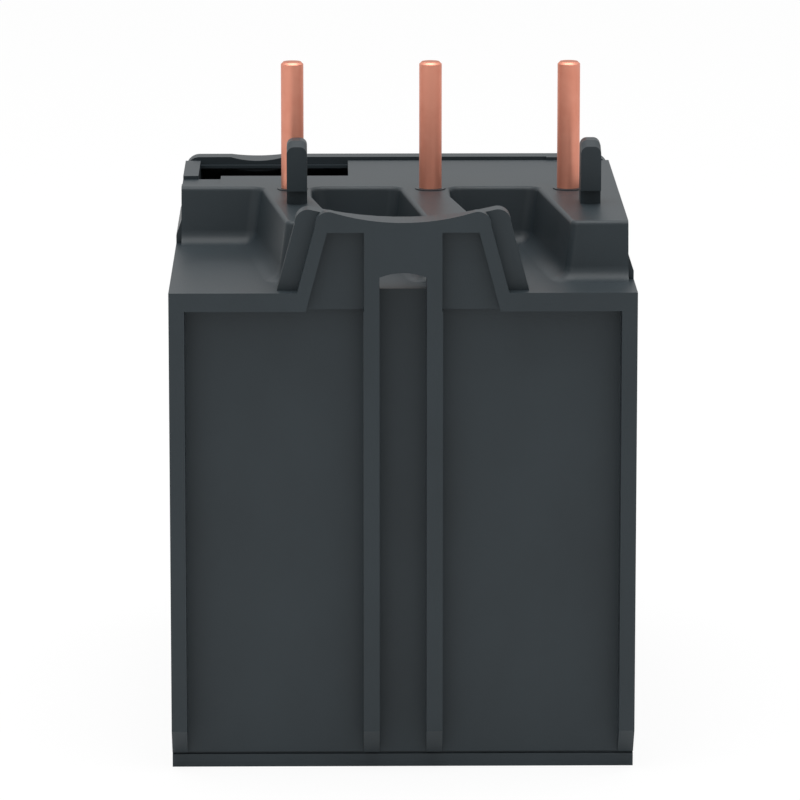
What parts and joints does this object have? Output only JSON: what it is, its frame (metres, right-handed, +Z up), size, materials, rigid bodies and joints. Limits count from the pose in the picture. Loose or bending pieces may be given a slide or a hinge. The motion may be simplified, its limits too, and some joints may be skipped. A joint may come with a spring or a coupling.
{
  "type": "thermal overload relay",
  "caption": "Plug-under thermal overload relay with copper connection pins, snap hooks, screw terminals, current dial and buttons.",
  "frame": {"origin": "centre of the box around the relay, on its base plane", "axes": "+Z up along the connection pins, +Y towards the rear that faces the mounting plate, -Y the operating panel, X across the poles"},
  "size_m": [0.045, 0.07, 0.066],
  "materials": {
    "housing_plastic": "dark blue-grey moulded, semi-gloss",
    "copper": "drawn copper",
    "bimetal": "rolled strip",
    "heater_wire": "drawn resistance wire",
    "tinned_brass": "tinned",
    "zinc_steel": "zinc plated",
    "spring_steel": "drawn wire",
    "inner_plastic": "natural moulded",
    "dial_plastic": "white moulded",
    "red_plastic": "red moulded",
    "blue_plastic": "blue moulded",
    "flag_plastic": "orange moulded",
    "clear_plastic": "clear moulded"
  },
  "bodies": {
    "housing": {"rear_housing": "housing_plastic", "front_cover": "housing_plastic", "terminal_block": "housing_plastic", "pin_1": "copper", "pin_2": "copper", "pin_3": "copper", "pin_bracket_1": "copper", "pin_bracket_2": "copper", "pin_bracket_3": "copper", "power_plate_1": "tinned_brass", "power_plate_2": "tinned_brass", "power_plate_3": "tinned_brass", "aux_plate_1": "tinned_brass", "aux_plate_2": "tinned_brass", "aux_plate_3": "tinned_brass", "aux_plate_4": "tinned_brass", "lever_pivot_pin": "zinc_steel", "rocker_pin": "zinc_steel", "cover_hinge_pin": "zinc_steel", "stop_spring": "spring_steel", "reset_spring": "spring_steel", "test_spring": "spring_steel"},
    "slider": {"slider_bar": "inner_plastic"},
    "differential": {"differential_bar": "inner_plastic"},
    "link": {"differential_lever": "inner_plastic"},
    "lever": {"trip_lever": "inner_plastic", "compensating_strip": "bimetal"},
    "rocker": {"contact_rocker": "inner_plastic", "nc_bridge": "tinned_brass", "no_bridge": "tinned_brass"},
    "flag": {"trip_flag": "flag_plastic"},
    "dial": {"adjustment_dial": "dial_plastic", "dial_cam": "dial_plastic"},
    "selector": {"mode_selector": "dial_plastic"},
    "stop": {"stop_button": "red_plastic"},
    "reset": {"reset_button": "blue_plastic"},
    "test": {"test_button": "red_plastic"},
    "cover": {"clear_cover": "clear_plastic"},
    "bimetal_1": {"bimetal_strip_1": "bimetal", "heater_winding_1": "heater_wire"},
    "bimetal_2": {"bimetal_strip_2": "bimetal", "heater_winding_2": "heater_wire"},
    "bimetal_3": {"bimetal_strip_3": "bimetal", "heater_winding_3": "heater_wire"},
    "power_screw_1": {"power_screw_1": "zinc_steel"},
    "power_clamp_1": {"power_clamp_1": "zinc_steel"},
    "power_screw_2": {"power_screw_2": "zinc_steel"},
    "power_clamp_2": {"power_clamp_2": "zinc_steel"},
    "power_screw_3": {"power_screw_3": "zinc_steel"},
    "power_clamp_3": {"power_clamp_3": "zinc_steel"},
    "aux_screw_1": {"aux_screw_1": "zinc_steel"},
    "aux_clamp_1": {"aux_clamp_1": "zinc_steel"},
    "aux_screw_2": {"aux_screw_2": "zinc_steel"},
    "aux_clamp_2": {"aux_clamp_2": "zinc_steel"},
    "aux_screw_3": {"aux_screw_3": "zinc_steel"},
    "aux_clamp_3": {"aux_clamp_3": "zinc_steel"},
    "aux_screw_4": {"aux_screw_4": "zinc_steel"},
    "aux_clamp_4": {"aux_clamp_4": "zinc_steel"}
  },
  "joints": [
    {"name": "trip_travel", "type": "slide", "parent": "housing", "child": "slider", "axis": [1, 0, 0], "range_m": [0, 0.0015], "stiffness_N_per_m": 200},
    {"name": "differential_travel", "type": "slide", "parent": "housing", "child": "differential", "axis": [1, 0, 0], "range_m": [0, 0.0013]},
    {"name": "link_tilt", "type": "hinge", "parent": "slider", "child": "link", "pos_m": [0.0155, 0.0249, 0.012], "axis": [0, -1, 0], "range_deg": [0, 3]},
    {"name": "lever_swing", "type": "hinge", "parent": "housing", "child": "lever", "pos_m": [0.0183, 0.008, 0.018], "axis": [0, 0, -1], "range_deg": [0, 6]},
    {"name": "rocker_tilt", "type": "hinge", "parent": "housing", "child": "rocker", "pos_m": [0.014, -0.011, 0.038], "axis": [0, 1, 0], "range_deg": [0, 7]},
    {"name": "flag_shift", "type": "slide", "parent": "housing", "child": "flag", "axis": [1, 0, 0], "range_m": [0, 0.0021]},
    {"name": "dial_turn", "type": "hinge", "parent": "housing", "child": "dial", "pos_m": [0.0146, -0.03, 0.0395], "axis": [0, 1, 0], "range_deg": [0, 270]},
    {"name": "selector_turn", "type": "hinge", "parent": "housing", "child": "selector", "pos_m": [0.0089, -0.03, 0.0343], "axis": [0, 1, 0], "range_deg": [0, 90]},
    {"name": "stop_press", "type": "slide", "parent": "housing", "child": "stop", "axis": [0, 1, 0], "range_m": [0, 0.002], "stiffness_N_per_m": 400, "deforming": ["stop_spring"]},
    {"name": "reset_press", "type": "slide", "parent": "housing", "child": "reset", "axis": [0, 1, 0], "range_m": [0, 0.003], "stiffness_N_per_m": 300, "deforming": ["reset_spring"]},
    {"name": "test_press", "type": "slide", "parent": "housing", "child": "test", "axis": [0, 1, 0], "range_m": [0, 0.0015], "stiffness_N_per_m": 300, "deforming": ["test_spring"]},
    {"name": "cover_open", "type": "hinge", "parent": "housing", "child": "cover", "pos_m": [0.0126, -0.0336, 0.0464], "axis": [-1, 0, 0], "range_deg": [0, 110]},
    {"name": "bimetal_bend_1", "type": "hinge", "parent": "housing", "child": "bimetal_1", "pos_m": [0.01075, 0.018, 0.0427], "axis": [0, -1, 0], "range_deg": [0, 3]},
    {"name": "bimetal_bend_2", "type": "hinge", "parent": "housing", "child": "bimetal_2", "pos_m": [-0.0031, 0.018, 0.0427], "axis": [0, -1, 0], "range_deg": [0, 3]},
    {"name": "bimetal_bend_3", "type": "hinge", "parent": "housing", "child": "bimetal_3", "pos_m": [-0.01695, 0.018, 0.0427], "axis": [0, -1, 0], "range_deg": [0, 3]},
    {"name": "power_screw_1_turn", "type": "hinge", "parent": "housing", "child": "power_screw_1", "pos_m": [0.014, -0.019, 0.00901], "axis": [0, 1, 0], "range_deg": [0, 1800]},
    {"name": "power_clamp_1_draw", "type": "slide", "parent": "housing", "child": "power_clamp_1", "axis": [0, -1, 0], "range_m": [0, 0.0035]},
    {"name": "power_screw_2_turn", "type": "hinge", "parent": "housing", "child": "power_screw_2", "pos_m": [0, -0.019, 0.00901], "axis": [0, 1, 0], "range_deg": [0, 1800]},
    {"name": "power_clamp_2_draw", "type": "slide", "parent": "housing", "child": "power_clamp_2", "axis": [0, -1, 0], "range_m": [0, 0.0035]},
    {"name": "power_screw_3_turn", "type": "hinge", "parent": "housing", "child": "power_screw_3", "pos_m": [-0.014, -0.019, 0.00901], "axis": [0, 1, 0], "range_deg": [0, 1800]},
    {"name": "power_clamp_3_draw", "type": "slide", "parent": "housing", "child": "power_clamp_3", "axis": [0, -1, 0], "range_m": [0, 0.0035]},
    {"name": "aux_screw_1_turn", "type": "hinge", "parent": "housing", "child": "aux_screw_1", "pos_m": [-0.0156, -0.031, 0.0236], "axis": [0, 1, 0], "range_deg": [0, 1440]},
    {"name": "aux_clamp_1_draw", "type": "slide", "parent": "housing", "child": "aux_clamp_1", "axis": [0, -1, 0], "range_m": [0, 0.002]},
    {"name": "aux_screw_2_turn", "type": "hinge", "parent": "housing", "child": "aux_screw_2", "pos_m": [-0.0052, -0.031, 0.0236], "axis": [0, 1, 0], "range_deg": [0, 1440]},
    {"name": "aux_clamp_2_draw", "type": "slide", "parent": "housing", "child": "aux_clamp_2", "axis": [0, -1, 0], "range_m": [0, 0.002]},
    {"name": "aux_screw_3_turn", "type": "hinge", "parent": "housing", "child": "aux_screw_3", "pos_m": [0.0052, -0.031, 0.0236], "axis": [0, 1, 0], "range_deg": [0, 1440]},
    {"name": "aux_clamp_3_draw", "type": "slide", "parent": "housing", "child": "aux_clamp_3", "axis": [0, -1, 0], "range_m": [0, 0.002]},
    {"name": "aux_screw_4_turn", "type": "hinge", "parent": "housing", "child": "aux_screw_4", "pos_m": [0.0156, -0.031, 0.0236], "axis": [0, 1, 0], "range_deg": [0, 1440]},
    {"name": "aux_clamp_4_draw", "type": "slide", "parent": "housing", "child": "aux_clamp_4", "axis": [0, -1, 0], "range_m": [0, 0.002]}
  ],
  "couplings": [
    {"joint": "differential_travel", "follows": "trip_travel", "ratio": 0.85},
    {"joint": "link_tilt", "follows": "trip_travel", "rad_per_m": 33.3},
    {"joint": "lever_swing", "follows": "trip_travel", "rad_per_m": 66.7},
    {"joint": "rocker_tilt", "follows": "trip_travel", "rad_per_m": 80},
    {"joint": "flag_shift", "follows": "trip_travel", "ratio": 1.3333},
    {"joint": "bimetal_bend_1", "follows": "trip_travel", "rad_per_m": 33.3},
    {"joint": "bimetal_bend_2", "follows": "trip_travel", "rad_per_m": 33.3},
    {"joint": "bimetal_bend_3", "follows": "trip_travel", "rad_per_m": 33.3},
    {"joint": "power_screw_1_turn", "follows": "power_clamp_1_draw", "rad_per_m": 8976},
    {"joint": "power_screw_2_turn", "follows": "power_clamp_2_draw", "rad_per_m": 8976},
    {"joint": "power_screw_3_turn", "follows": "power_clamp_3_draw", "rad_per_m": 8976},
    {"joint": "aux_screw_1_turn", "follows": "aux_clamp_1_draw", "rad_per_m": 12566},
    {"joint": "aux_screw_2_turn", "follows": "aux_clamp_2_draw", "rad_per_m": 12566},
    {"joint": "aux_screw_3_turn", "follows": "aux_clamp_3_draw", "rad_per_m": 12566},
    {"joint": "aux_screw_4_turn", "follows": "aux_clamp_4_draw", "rad_per_m": 12566}
  ]
}
